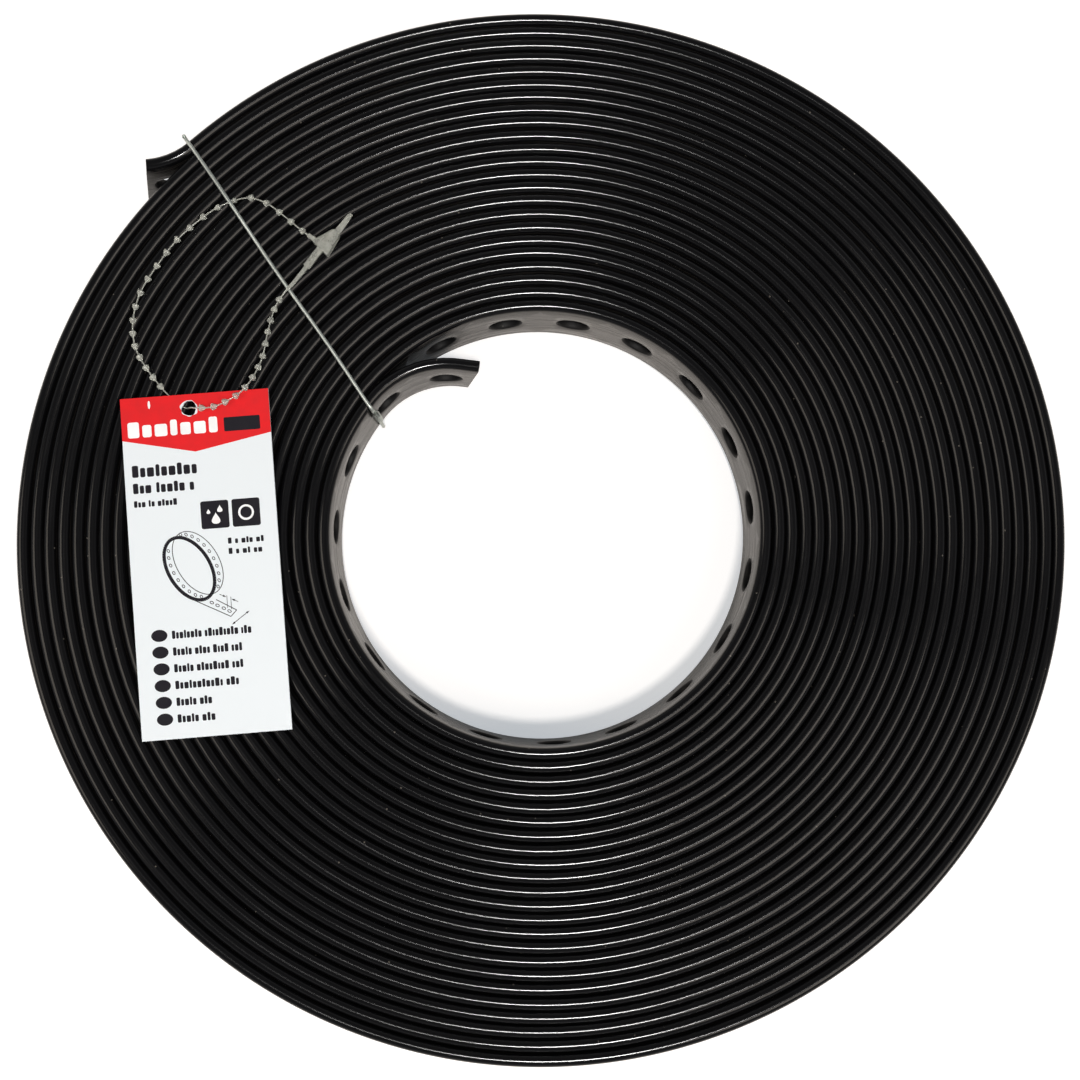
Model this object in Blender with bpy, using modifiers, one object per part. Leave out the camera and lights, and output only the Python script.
"""Coil of perforated steel strap, plastic coated, with its wire tie and its hang tag.

One length of strap is wound flat on itself into a true spiral and lies on its side.
A steel wire is looped round the section of the coil, and a card tag hangs from that wire
on a beaded plastic loop. Metres, +Z up; the coil's axis is upright.
"""
from math import atan2, cos, pi, radians, sin, sqrt, tau

import bmesh
import bpy
import numpy as np
from mathutils import Matrix, Vector

# Clearance that is left between two pieces that touch
TOUCH = 0.0003

# Strap: flat steel with a moulded coat, and one row of round holes along its middle
STRAP_WIDTH = 0.019
STRAP_THICKNESS = 0.0022
EDGE_HEIGHT = 0.0006
EDGE_INSET = 0.0006
HOLE_DIAMETER = 0.0065
HOLE_PITCH = 0.0136
FIRST_HOLE = 0.0054
LAST_HOLE = 0.0050
HOLE_SIDES = 10

# Coil: number of turns, the play between two turns, and the radius at the strap's inner end
TURNS = 23
TURN_PLAY = 0.00032
BORE_RADIUS = 0.0392
COIL_STEPS = 32
OUTER_END_ANGLE = radians(132.2)
INNER_END_ANGLE = radians(143.0)

# Strap ends that spring off the coil, each cut off at a slant, which is given as length per height
INNER_END_RADIUS = 0.0179
INNER_END_TURN = radians(60)
INNER_END_STRAIGHT = 0.0026
INNER_END_SLANT = -0.15
OUTER_END_RADIUS = 0.0145
OUTER_END_TURN = radians(40)
OUTER_END_STRAIGHT = 0.0018
OUTER_END_SLANT = 0.26
END_ROOT = 0.0006
END_SHY = 0.00004
BEND_STEP = radians(7.5)

# Wire tie: one loop round the coil's section, its ends twisted together in the bore
WIRE_DIAMETER = 0.0007
WIRE_CORNER = 0.0011
WIRE_OUTER_ANGLE = radians(132.3)
WIRE_INNER_ANGLE = radians(144.8)
TWIST_LENGTH = 0.008
TWIST_PITCH = 0.0036
TWIST_POINTS = 18
WIRE_TIP = 0.0013
WIRE_TIP_LEAN = 0.3

# Beaded tag loop
STRAND_DIAMETER = 0.0005
BEAD_DIAMETER = 0.0013
BEAD_LENGTH = 0.0012
BEAD_SHOULDER = 0.0004
BEAD_PITCH = 0.0031
BEAD_PITCH_LAST = 0.0021
STRAND_ROOT = 0.0009
STRAND_PLAY = 0.0001
SHANK_NECK = 0.00104
SHANK_DIAMETER = 0.0013
HEAD_LENGTH = 0.0045
HEAD_BASE = 0.0040
HEAD_NOSE = 0.0015
HEAD_HEIGHT = 0.0022
TIP_TAPER = 0.0007
TIP_DIAMETER = 0.0007
TIP_POINT = 0.00035

# Card tag
TAG_WIDTH = 0.0272
TAG_LENGTH = 0.0628
TAG_THICKNESS = 0.0004
TAG_HOLE_DIAMETER = 0.0028
TAG_HOLE_SIDES = 16
TAG_HOLE_ACROSS = 0.0125
TAG_HOLE_DOWN = 0.0026
TAG_TURN = radians(4.6)

TURN_PITCH = STRAP_THICKNESS + TURN_PLAY
BASE = WIRE_DIAMETER + TOUCH
FACE = BASE + STRAP_WIDTH
LIFT_SWEEP = (INNER_END_ANGLE - OUTER_END_ANGLE) % tau
SEAM_RADIUS = BORE_RADIUS - TURN_PITCH * LIFT_SWEEP / tau
OUTER_RADIUS = SEAM_RADIUS + TURNS * TURN_PITCH + STRAP_THICKNESS
FACET = cos(pi / COIL_STEPS)
HOLE_OVERRUN = 0.0005
HOLE_MARGIN = 0.0008

# Heights of the tag loop's middle above the coil's face
ON_FACE = TOUCH + BEAD_DIAMETER / 2
UNDER = TOUCH + STRAND_DIAMETER / 2
TAG_RISE = UNDER + STRAND_DIAMETER / 2 + TOUCH
ON_TAG = TAG_RISE + TAG_THICKNESS + TOUCH + BEAD_DIAMETER / 2
OVER_WIRE = TOUCH + WIRE_DIAMETER + TOUCH + STRAND_DIAMETER / 2 + STRAND_PLAY
HEAD_MID = TOUCH + HEAD_HEIGHT / 2

TAG_HOLE = Vector((-0.06575, 0.0217))
HEAD_PLACE = Vector((-0.0405, 0.0533))
HEAD_HEADING = radians(45.6)
WIRE_OVER_LOOP = Vector((-0.0593, 0.0606))
WIRE_HUMP_REACH = 0.0115

# Route of the tag loop: out of the head's corner, round to the left, under the card's top edge,
# up through its hole, over the card and the wire, into the head and out of it as a tip
LOOP_ROUTE = (
    (-0.0428, 0.0533, HEAD_MID),
    (-0.0454, 0.0552, ON_FACE),
    (-0.0497, 0.0587, ON_FACE),
    (-0.0521, 0.0604, ON_FACE),
    (-0.0550, 0.0614, ON_FACE),
    (-0.0577, 0.0612, UNDER),
    (-0.0609, 0.0599, UNDER),
    (-0.0639, 0.0577, ON_FACE),
    (-0.0686, 0.0534, ON_FACE),
    (-0.0723, 0.0484, ON_FACE),
    (-0.0752, 0.0434, ON_FACE),
    (-0.0765, 0.0381, ON_FACE),
    (-0.0760, 0.0333, ON_FACE),
    (-0.0739, 0.0293, ON_FACE),
    (-0.0710, 0.0256, ON_FACE),
    (-0.0690, 0.0235, UNDER),
    (-0.0673, 0.0222, UNDER),
    (-0.0662, 0.0218, UNDER),
    (-0.0653, 0.0217, ON_TAG),
    (-0.0642, 0.0216, ON_TAG),
    (-0.0609, 0.0219, ON_TAG),
    (-0.0569, 0.0240, ON_TAG),
    (-0.0543, 0.0268, ON_TAG),
    (-0.0526, 0.0312, ON_FACE),
    (-0.0516, 0.0362, ON_FACE),
    (-0.0504, 0.0405, ON_FACE),
    (-0.0487, 0.0431, OVER_WIRE),
    (-0.0469, 0.0451, OVER_WIRE),
    (-0.0442, 0.0487, HEAD_MID),
    (-0.0421, 0.0515, HEAD_MID),
    (-0.0389, 0.0549, HEAD_MID),
    (-0.0363, 0.0584, HEAD_MID),
)
SHANK_START = 26
SHANK_FULL = 28
NOSE = 30


def clear_scene():
    for item in list(bpy.data.objects):
        bpy.data.objects.remove(item, do_unlink=True)


def collection(name):
    group = bpy.data.collections.new(name)
    bpy.context.scene.collection.children.link(group)
    return group


def material(name, colour, roughness, metallic=0.0):
    finish = bpy.data.materials.new(name)
    finish.use_nodes = True
    shader = finish.node_tree.nodes["Principled BSDF"]
    shader.inputs["Base Color"].default_value = (*colour, 1.0)
    shader.inputs["Roughness"].default_value = roughness
    shader.inputs["Metallic"].default_value = metallic
    return finish


def add(name, data, group):
    item = bpy.data.objects.new(name, data)
    group.objects.link(item)
    return item


def evaluated_mesh(item):
    """A new mesh of the object as its modifiers or curve settings make it."""
    graph = bpy.context.evaluated_depsgraph_get()
    graph.update()
    return bpy.data.meshes.new_from_object(item.evaluated_get(graph), depsgraph=graph)


def weld(mesh, distance=1e-6, fill=False):
    """Merges doubled points, closes open ends if asked, and turns every face outwards."""
    shape = bmesh.new()
    shape.from_mesh(mesh)
    bmesh.ops.remove_doubles(shape, verts=shape.verts, dist=distance)
    if fill:
        bmesh.ops.holes_fill(shape, edges=[e for e in shape.edges if e.is_boundary], sides=0)
    bmesh.ops.recalc_face_normals(shape, faces=shape.faces)
    shape.to_mesh(mesh)
    shape.free()
    return mesh


def solid_from_curve(name, curve, group):
    """Turns a curve object's data into a closed mesh object."""
    guide = add(name + "_path", curve, group)
    mesh = weld(evaluated_mesh(guide))
    bpy.data.objects.remove(guide, do_unlink=True)
    return add(name, mesh, group)


def poly_curve(points, radii=None, cyclic=False, dimensions="3D"):
    curve = bpy.data.curves.new("path", "CURVE")
    curve.dimensions = dimensions
    add_spline(curve, points, radii, cyclic)
    return curve


def add_spline(curve, points, radii=None, cyclic=False):
    spline = curve.splines.new("POLY")
    spline.points.add(len(points) - 1)
    for i, place in enumerate(points):
        spline.points[i].co = (*place, 1.0) if len(place) == 3 else (*place, 0.0, 1.0)
        spline.points[i].radius = radii[i] if radii is not None else 1.0
    spline.use_cyclic_u = cyclic


def plate(name, outlines, thickness, group):
    """A flat outline with its holes, thick to both sides of z = 0."""
    curve = bpy.data.curves.new("outline", "CURVE")
    curve.dimensions = "2D"
    for outline in outlines:
        add_spline(curve, outline, cyclic=True)
    curve.fill_mode = "BOTH"
    curve.extrude = thickness / 2
    return solid_from_curve(name, curve, group)


def circle(centre, radius, sides):
    return [
        (centre[0] + radius * cos(tau * k / sides), centre[1] + radius * sin(tau * k / sides))
        for k in range(sides)
    ]


def apply_boolean(target, tool, operation):
    change = target.modifiers.new(tool.name, "BOOLEAN")
    change.operation = operation
    change.solver = "EXACT"
    change.object = tool
    mesh = evaluated_mesh(target)
    target.modifiers.clear()
    target.data = mesh


def move(item, matrix):
    item.data.transform(matrix)
    item.data.update()


# Strap coil


def coil_profile():
    """Section of the turns: down the outer side, in along the underside, up the bore, out along
    the top. Each turn is a crest with a flat, and the crests meet in grooves."""
    crests = []
    for turn in range(TURNS):
        inner = SEAM_RADIUS + turn * TURN_PITCH
        crests.append((inner, inner + EDGE_INSET, inner + STRAP_THICKNESS - EDGE_INSET))
    outside = SEAM_RADIUS + (TURNS - 1) * TURN_PITCH + STRAP_THICKNESS
    points = [(outside, FACE - EDGE_HEIGHT), (outside, BASE + EDGE_HEIGHT)]
    for groove, near, far in reversed(crests):
        points += [(far, BASE), (near, BASE), (groove, BASE + EDGE_HEIGHT)]
    for groove, near, far in crests:
        points += [(groove, FACE - EDGE_HEIGHT), (near, FACE), (far, FACE)]
    return points


def turned_coil(group):
    """The profile turned with a Screw through half a circle, which leaves its two ends open. The
    steps are then spread over a whole turn, and each is moved outwards by its share of the turn
    pitch, so that each turn runs into the next one as wound strap does."""
    profile = coil_profile()
    mesh = bpy.data.meshes.new("coil_profile")
    count = len(profile)
    mesh.from_pydata([(r, 0.0, z) for r, z in profile], [(i, (i + 1) % count) for i in range(count)], [])
    guide = add("coil_profile", mesh, group)
    screw = guide.modifiers.new("Turn", "SCREW")
    screw.axis = "Z"
    screw.angle = pi
    screw.steps = COIL_STEPS
    screw.render_steps = COIL_STEPS
    screw.use_merge_vertices = False
    turned = evaluated_mesh(guide)
    bpy.data.objects.remove(guide, do_unlink=True)
    places = np.empty(len(turned.vertices) * 3)
    turned.vertices.foreach_get("co", places)
    places = places.reshape(-1, 3)
    step = np.arange(len(places)) // count
    radius = np.hypot(places[:, 0], places[:, 1])
    grown = radius + TURN_PITCH * step / COIL_STEPS
    angle = tau * step / COIL_STEPS + OUTER_END_ANGLE
    places[:, 0] = grown * np.cos(angle)
    places[:, 1] = grown * np.sin(angle)
    turned.vertices.foreach_set("co", places.ravel())
    turned.update()
    return add("strap", weld(turned, fill=True), group)


def polar(radius, angle):
    return Vector((radius * cos(angle), radius * sin(angle)))


def lifted_start(group):
    """Cutter for the innermost turn's beginning, where the strap's inner end stands clear."""
    steps = 6
    reach = radians(1)
    inside = BORE_RADIUS - STRAP_THICKNESS
    outer = [
        polar(SEAM_RADIUS + TURN_PITCH * (1 + sweep / tau), OUTER_END_ANGLE + sweep)
        for sweep in (LIFT_SWEEP * k / steps for k in range(steps + 1))
    ]
    shoulder = polar(SEAM_RADIUS + STRAP_THICKNESS - EDGE_INSET, OUTER_END_ANGLE - reach)
    inner = [
        polar(inside, OUTER_END_ANGLE - reach + (LIFT_SWEEP + reach) * k / steps)
        for k in range(steps + 1)
    ]
    cutter = plate("lifted_start", [outer + inner[::-1] + [shoulder]], 2 * STRAP_WIDTH, group)
    move(cutter, Matrix.Translation((0, 0, (BASE + FACE) / 2)))
    return cutter


def bend(place, heading, straight_before, radius, turn, straight_after):
    """Places and headings along a straight, an arc and a straight. A negative turn is clockwise."""
    path = [(place.copy(), heading)]
    place = place + straight_before * polar(1, heading)
    path.append((place.copy(), heading))
    steps = max(2, round(abs(turn) / BEND_STEP))
    side = 1 if turn > 0 else -1
    centre = place + side * radius * polar(1, heading + pi / 2)
    for k in range(1, steps + 1):
        now = heading + turn * k / steps
        path.append((centre - side * radius * polar(1, now + pi / 2), now))
    if straight_after > 0:
        place, now = path[-1]
        path.append((place + straight_after * polar(1, now), now))
    return path


def inner_end_path():
    middle = BORE_RADIUS + STRAP_THICKNESS / 2
    heading = INNER_END_ANGLE - pi / 2
    start = polar(middle, INNER_END_ANGLE) - END_ROOT * polar(1, heading)
    return bend(start, heading, END_ROOT, INNER_END_RADIUS, -INNER_END_TURN, INNER_END_STRAIGHT)


def outer_end_path():
    middle = OUTER_RADIUS - STRAP_THICKNESS / 2
    heading = OUTER_END_ANGLE + pi / 2
    start = polar(middle, OUTER_END_ANGLE) - END_ROOT * polar(1, heading)
    return bend(start, heading, END_ROOT, OUTER_END_RADIUS, -OUTER_END_TURN, OUTER_END_STRAIGHT)


def cut_slanted(mesh, tip, heading, slant):
    """Cuts the strap off across its tip, where the cut runs forward by the slant as it goes down."""
    shape = bmesh.new()
    shape.from_mesh(mesh)
    bmesh.ops.bisect_plane(
        shape,
        geom=[*shape.verts, *shape.edges, *shape.faces],
        plane_co=(*tip, 0),
        plane_no=(*polar(1, heading), slant),
        clear_outer=True,
    )
    bmesh.ops.holes_fill(shape, edges=[e for e in shape.edges if e.is_boundary], sides=0)
    bmesh.ops.recalc_face_normals(shape, faces=shape.faces)
    shape.to_mesh(mesh)
    shape.free()


def free_end(name, path, slant, group):
    """A free end of the strap: its plan outline, raised to the strap's width, cut off and
    chamfered. The outline runs past the tip by as much as the slanted cut needs."""
    half = STRAP_THICKNESS / 2
    tip, last = path[-1]
    path = path + [(tip + abs(slant) * STRAP_WIDTH * polar(1, last), last)]
    left = [place + half * polar(1, heading + pi / 2) for place, heading in path]
    right = [place - half * polar(1, heading + pi / 2) for place, heading in path]
    end = plate(name, [left + right[::-1]], STRAP_WIDTH - 2 * END_SHY, group)
    cut_slanted(end.data, tip, last, slant)
    chamfer = end.modifiers.new("Edges", "BEVEL")
    chamfer.width = min(EDGE_INSET, EDGE_HEIGHT)
    chamfer.segments = 1
    chamfer.limit_method = "ANGLE"
    chamfer.angle_limit = radians(60)
    end.data = evaluated_mesh(end)
    end.modifiers.clear()
    move(end, Matrix.Translation((0, 0, (BASE + FACE) / 2)))
    return end


def hole_places():
    """The holes that can be seen, in three lists: on the strap's inner end, on the coil and on its
    outer end. The bore's row is set out from the inner end and the outside row from the outer
    end. Each hole is a place, a heading, and whether the left and the right face are open."""
    inner_length = INNER_END_RADIUS * INNER_END_TURN + INNER_END_STRAIGHT
    outer_length = OUTER_END_RADIUS * OUTER_END_TURN + OUTER_END_STRAIGHT
    first = SEAM_RADIUS + STRAP_THICKNESS / 2
    edge = HOLE_DIAMETER / 2 + HOLE_MARGIN

    def wound(sweep):
        return first * sweep + TURN_PITCH * sweep**2 / (2 * tau)

    def sweep_at(length):
        return (sqrt(first**2 + 2 * TURN_PITCH * length / tau) - first) * tau / TURN_PITCH

    def on_coil(length, left, right):
        sweep = sweep_at(length)
        radius = first + TURN_PITCH * sweep / tau
        angle = OUTER_END_ANGLE + sweep
        return polar(radius, angle), angle + pi / 2, left, right

    inner_holes, coil_holes, outer_holes = [], [], []
    start = wound(LIFT_SWEEP) - inner_length
    length = start + FIRST_HOLE
    while length < wound(LIFT_SWEEP):
        inner_holes.append((*along_path(inner_end_path(), END_ROOT + start + inner_length - length), 1, 1))
        length += HOLE_PITCH
    while length < wound(LIFT_SWEEP + tau) - edge:
        coil_holes.append(on_coil(length, 1, 0))
        length += HOLE_PITCH
    end = wound(TURNS * tau) + outer_length
    length = end - LAST_HOLE
    while length > wound(TURNS * tau):
        outer_holes.append((*along_path(outer_end_path(), END_ROOT + length - wound(TURNS * tau)), 1, 1))
        length -= HOLE_PITCH
    while length > wound(TURNS * tau - tau) + edge:
        coil_holes.append(on_coil(length, 0, 1))
        length -= HOLE_PITCH
    return inner_holes, coil_holes, outer_holes


def along_path(path, distance):
    """The place and heading that lie a distance along a path of places and headings."""
    for (place, heading), (following, after) in zip(path, path[1:]):
        span = (following - place).length
        if distance <= span or following is path[-1][0]:
            share = distance / span
            return place.lerp(following, share), heading + (after - heading) * share
        distance -= span
    return path[-1]


def hole_cutter(place, heading, left, right, group):
    """A round cutter across the strap, run past its left or right face where that face is open."""
    near = -STRAP_THICKNESS / 2 - HOLE_OVERRUN * right
    far = STRAP_THICKNESS / 2 + HOLE_OVERRUN * left
    shape = bmesh.new()
    bmesh.ops.create_cone(
        shape,
        cap_ends=True,
        segments=HOLE_SIDES,
        radius1=HOLE_DIAMETER / 2,
        radius2=HOLE_DIAMETER / 2,
        depth=far - near,
    )
    bmesh.ops.translate(shape, verts=shape.verts, vec=(0, 0, (near + far) / 2))
    lay_down = Matrix.Rotation(pi / 2, 4, "Y")
    face_across = Matrix.Rotation(heading + pi / 2, 4, "Z")
    middle = Matrix.Translation((*place, (BASE + FACE) / 2))
    shape.transform(middle @ face_across @ lay_down)
    mesh = bpy.data.meshes.new("hole")
    shape.to_mesh(mesh)
    shape.free()
    return add("hole", mesh, group)


def gathered(name, items, group):
    """One object that holds the shapes of several, which it replaces."""
    shape = bmesh.new()
    for item in items:
        shape.from_mesh(item.data)
        bpy.data.objects.remove(item, do_unlink=True)
    mesh = bpy.data.meshes.new(name)
    shape.to_mesh(mesh)
    shape.free()
    return add(name, mesh, group)


def cut_holes(item, places, group):
    """Cuts the holes with one cutter object that holds them all."""
    holes = [hole_cutter(*place, group) for place in places]
    apply_boolean(item, gathered("holes", holes, group), "DIFFERENCE")


def strap(parts, cutters):
    """The coil with its holes, and the two free ends joined to it where they spring off."""
    inner_holes, coil_holes, outer_holes = hole_places()
    coil = turned_coil(parts)
    apply_boolean(coil, lifted_start(cutters), "DIFFERENCE")
    cut_holes(coil, coil_holes, cutters)
    inner_end = free_end("inner_end", inner_end_path(), INNER_END_SLANT, cutters)
    cut_holes(inner_end, inner_holes, cutters)
    outer_end = free_end("outer_end", outer_end_path(), OUTER_END_SLANT, cutters)
    cut_holes(outer_end, outer_holes, cutters)
    apply_boolean(coil, gathered("ends", [inner_end, outer_end], cutters), "UNION")
    weld(coil.data)
    return coil


def box_centre(item):
    """Middle of the object's box, seen from above."""
    places = np.empty(len(item.data.vertices) * 3)
    item.data.vertices.foreach_get("co", places)
    places = places.reshape(-1, 3)
    return Vector((places.max(axis=0) + places.min(axis=0))[:2] / 2)


# Wire tie


def tube(name, points, thickness, group, radii=None, resolution=2):
    """A round tube along the points. The radii are shares of its thickness at each point."""
    curve = poly_curve(points, radii)
    curve.bevel_depth = thickness / 2
    curve.bevel_resolution = resolution
    curve.use_fill_caps = True
    return solid_from_curve(name, curve, group)


def wire_tie(group, axis):
    """One wire: down the bore as one strand of the twist, from there over the face, down the
    outside, back under the coil and up the bore as the other strand, whose tip stands off."""
    half = WIRE_DIAMETER / 2
    outside = OUTER_RADIUS + TOUCH + half
    bore = (BORE_RADIUS * FACET) - TOUCH - half
    outer = axis + polar(outside, WIRE_OUTER_ANGLE)
    inner = axis + polar(bore, WIRE_INNER_ANGLE)
    run = (inner - outer).length
    forth = (inner - outer).normalized()
    off_wall = -polar(1, WIRE_INNER_ANGLE)
    beside = Vector((-off_wall.y, off_wall.x))
    top = FACE + TOUCH + half
    bottom = half
    hump_at = (WIRE_OVER_LOOP - outer).dot(forth)
    hump = UNDER + STRAND_DIAMETER / 2
    twist = (WIRE_DIAMETER + TOUCH) / 2
    twist_top = FACE - WIRE_CORNER
    turns = round(TWIST_LENGTH / TWIST_PITCH) + 0.5

    def at(along, height):
        return (*(outer + along * forth), height)

    def corner(along, height, first):
        return [
            at(
                along + WIRE_CORNER * cos(first + k * pi / 6),
                height + WIRE_CORNER * sin(first + k * pi / 6),
            )
            for k in range(4)
        ]

    def strand(side, share):
        angle = tau * turns * share
        place = inner + twist * ((1 - side * cos(angle)) * off_wall + side * sin(angle) * beside)
        return (*place, twist_top - TWIST_LENGTH * share)

    shares = [k / TWIST_POINTS for k in range(TWIST_POINTS + 1)]
    points = [strand(1, share) for share in reversed(shares)]
    points += corner(run - WIRE_CORNER, top - WIRE_CORNER, 0)
    steps = 12
    for k in range(1, steps):
        along = run - WIRE_CORNER - (run - 2 * WIRE_CORNER) * k / steps
        near = max(-1, min(1, (along - hump_at) / WIRE_HUMP_REACH))
        points.append(at(along, top + hump * (1 + cos(pi * near)) / 2))
    points += corner(WIRE_CORNER, top - WIRE_CORNER, pi / 2)
    points += corner(WIRE_CORNER, bottom + WIRE_CORNER, pi)
    points += corner(run - WIRE_CORNER, bottom + WIRE_CORNER, 3 * pi / 2)
    points += [strand(-1, share) for share in reversed(shares)]
    tip = Vector(points[-1])
    points.append(tuple(tip + WIRE_TIP * Vector((*(WIRE_TIP_LEAN * forth), 1))))
    return tube("wire_tie", points, WIRE_DIAMETER, group)


# Beaded tag loop


def smooth_route(points, steps):
    """A smooth curve through the points, each stretch bent by its neighbours."""
    route = [np.array(place) for place in points]
    ends = [2 * route[0] - route[1], *route, 2 * route[-1] - route[-2]]
    curve = []
    for before, here, there, after in zip(ends, ends[1:], ends[2:], ends[3:]):
        for k in range(steps):
            s = k / steps
            bent = (there - before) * s + (2 * before - 5 * here + 4 * there - after) * s**2
            curve.append(here + (bent + (3 * here - before - 3 * there + after) * s**3) / 2)
    curve.append(route[-1])
    return np.array(curve)


def strand_sections(line, shank, full, nose):
    """Places along the loop's middle line with the strand's thickness at each. A bead is flat at
    its back and runs to a point towards the tip, and there is none where the strand lies under
    something or above the wire. The strand was drawn out in moulding, most of all near its head,
    so the beads come closer together towards the tip."""
    lengths = np.concatenate([[0], np.cumsum(np.linalg.norm(np.diff(line, axis=0), axis=1))])

    def place(length):
        return tuple(np.interp(length, lengths, line[:, k]) for k in range(3))

    thin = STRAND_DIAMETER
    sections = [(0.0, STRAND_ROOT), (BEAD_PITCH / 2, STRAND_ROOT)]
    back = BEAD_PITCH
    while back + BEAD_LENGTH < lengths[shank]:
        middle = back + BEAD_LENGTH / 2
        heights = [place(length)[2] for length in (back, middle, back + BEAD_LENGTH)]
        flat = max(heights) - min(heights) < STRAND_DIAMETER / 2
        if flat and min(heights) > FACE + (ON_FACE + UNDER) / 2:
            sections.append((back - STRAND_DIAMETER / 4, thin))
            sections.append((back, BEAD_DIAMETER))
            sections.append((back + BEAD_SHOULDER, BEAD_DIAMETER))
            sections.append((back + BEAD_LENGTH, thin))
        else:
            sections.append((back, thin))
            sections.append((middle, thin))
            sections.append((back + BEAD_LENGTH, thin))
        back += BEAD_PITCH + (BEAD_PITCH_LAST - BEAD_PITCH) * back / lengths[shank]
    sections.append((lengths[shank], thin))
    sections.append((lengths[full], SHANK_NECK))
    sections.append((lengths[nose], SHANK_DIAMETER))
    sections.append((lengths[-1] - TIP_TAPER, TIP_DIAMETER))
    sections.append((lengths[-1], TIP_POINT))
    return [(place(length), thickness) for length, thickness in sections]


def tag_tie(group, cutters):
    """The loop and its lock head, moulded in one piece and closed by its own tip."""
    steps = 8
    line = smooth_route([(x, y, FACE + lift) for x, y, lift in LOOP_ROUTE], steps)
    sections = strand_sections(line, SHANK_START * steps, SHANK_FULL * steps, NOSE * steps)
    places = [place for place, _ in sections]
    shares = [thickness / STRAND_DIAMETER for _, thickness in sections]
    loop = tube("tag_tie", places, STRAND_DIAMETER, group, shares, resolution=1)
    half = HEAD_LENGTH / 2
    corners = [
        (-half, -HEAD_BASE / 2),
        (half, -HEAD_NOSE / 2),
        (half, HEAD_NOSE / 2),
        (-half, HEAD_BASE / 2),
    ]
    head = plate("lock_head", [corners], HEAD_HEIGHT, cutters)
    turn = Matrix.Rotation(HEAD_HEADING, 4, "Z")
    move(head, Matrix.Translation((*HEAD_PLACE, FACE + HEAD_MID)) @ turn)
    apply_boolean(loop, head, "UNION")
    weld(loop.data)
    return loop


# Card tag


def tag(group):
    """The card, with its top end propped on the loop and its bottom end on the coil."""
    left = -TAG_HOLE_ACROSS
    right = left + TAG_WIDTH
    upper = TAG_HOLE_DOWN
    lower = upper - TAG_LENGTH
    outline = [(left, lower), (right, lower), (right, upper), (left, upper)]
    hole = circle((0, 0), TAG_HOLE_DIAMETER / 2, TAG_HOLE_SIDES)
    card = plate("tag", [outline, hole], TAG_THICKNESS, group)
    slope = (TAG_RISE - TOUCH) / -lower
    tilt = Matrix.Rotation(atan2(slope, 1), 4, "X")
    turn = Matrix.Rotation(TAG_TURN, 4, "Z")
    height = FACE + TAG_RISE + TAG_THICKNESS / 2
    move(card, Matrix.Translation((*TAG_HOLE, height)) @ turn @ tilt)
    return card


clear_scene()
parts = collection("perforated_strap_coil")
cutters = collection("cutters")

coil = strap(parts, cutters)
offset = -box_centre(coil)
move(coil, Matrix.Translation((*offset, 0)))
wire = wire_tie(parts, offset)
loop = tag_tie(parts, cutters)
card = tag(parts)

coil.data.materials.append(material("black plastic coat", (0.012, 0.012, 0.014), 0.28))
wire.data.materials.append(material("galvanised wire", (0.45, 0.48, 0.46), 0.38, 1.0))
loop.data.materials.append(material("clear moulded plastic", (0.62, 0.61, 0.56), 0.35))
card.data.materials.append(material("coated card", (0.86, 0.89, 0.94), 0.55))

for item in (coil, wire, loop):
    item.data.shade_smooth()
    item.data.set_sharp_from_angle(angle=radians(35))
for item in cutters.objects:
    item.hide_render = True
    item.display_type = "WIRE"
